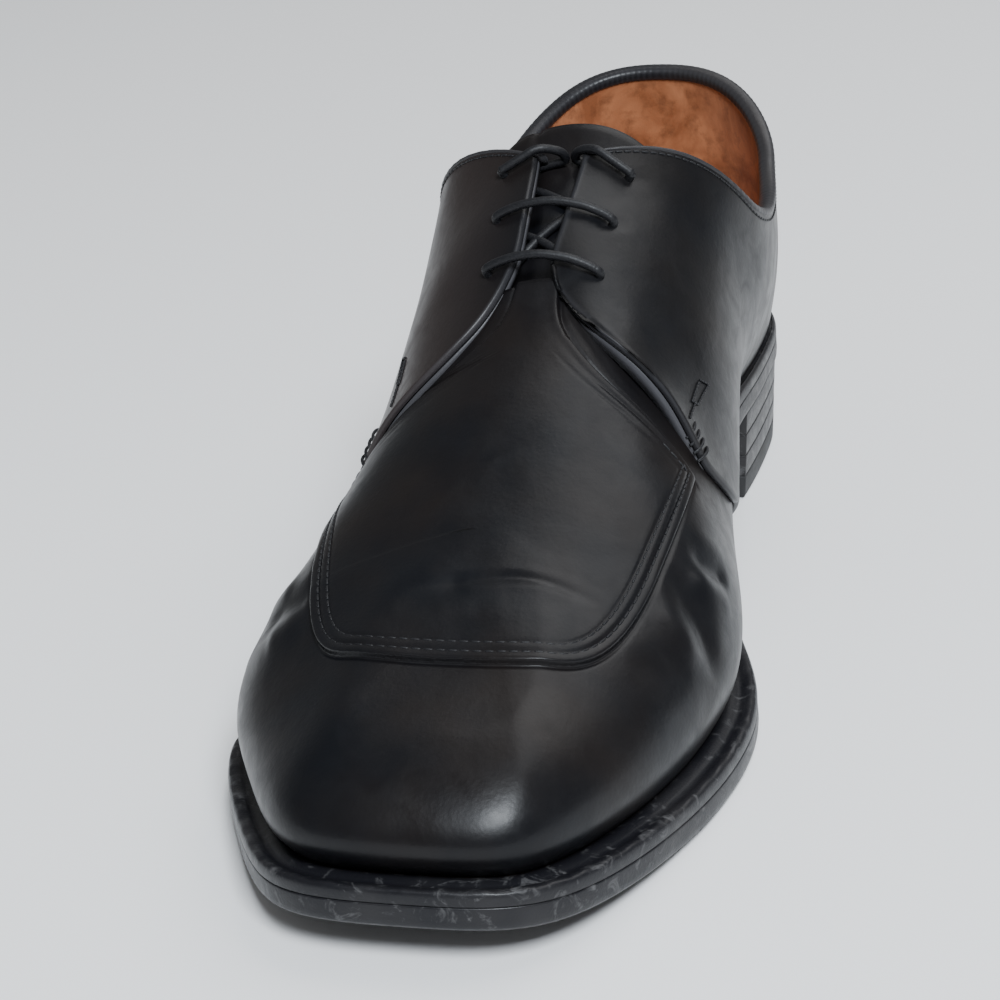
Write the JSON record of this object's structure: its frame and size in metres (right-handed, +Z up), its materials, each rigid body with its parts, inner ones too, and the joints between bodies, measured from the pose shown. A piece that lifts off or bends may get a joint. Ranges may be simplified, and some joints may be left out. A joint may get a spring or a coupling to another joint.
{
  "type": "apron toe derby shoe",
  "caption": "Low laced dress shoe for a right foot: raised apron over a plain toe, open facings, tongue, welted leather sole and stacked heel.",
  "frame": {"origin": "on the floor, under the middle of the shoe's bounding box", "axes": "+X towards the toe, +Y towards the inner side of the right foot, +Z up"},
  "size_m": [0.303, 0.114, 0.1138],
  "materials": {
    "upper_leather": "polished smooth black calf",
    "sole_leather": "black painted and waxed edge",
    "heel_rubber": "matt black",
    "lining_leather": "worn tan lining",
    "lace_cotton": "waxed round black cord"
  },
  "bodies": {
    "root": {"outsole": "sole_leather", "welt": "sole_leather", "heel_lift_1": "sole_leather", "heel_lift_2": "sole_leather", "heel_lift_3": "sole_leather", "heel_top_piece": "heel_rubber", "insole": "lining_leather", "upper": "upper_leather", "tongue": "upper_leather", "lace": "lace_cotton", "lace_end_inner": "lace_cotton", "lace_end_outer": "lace_cotton"}
  },
  "joints": []
}
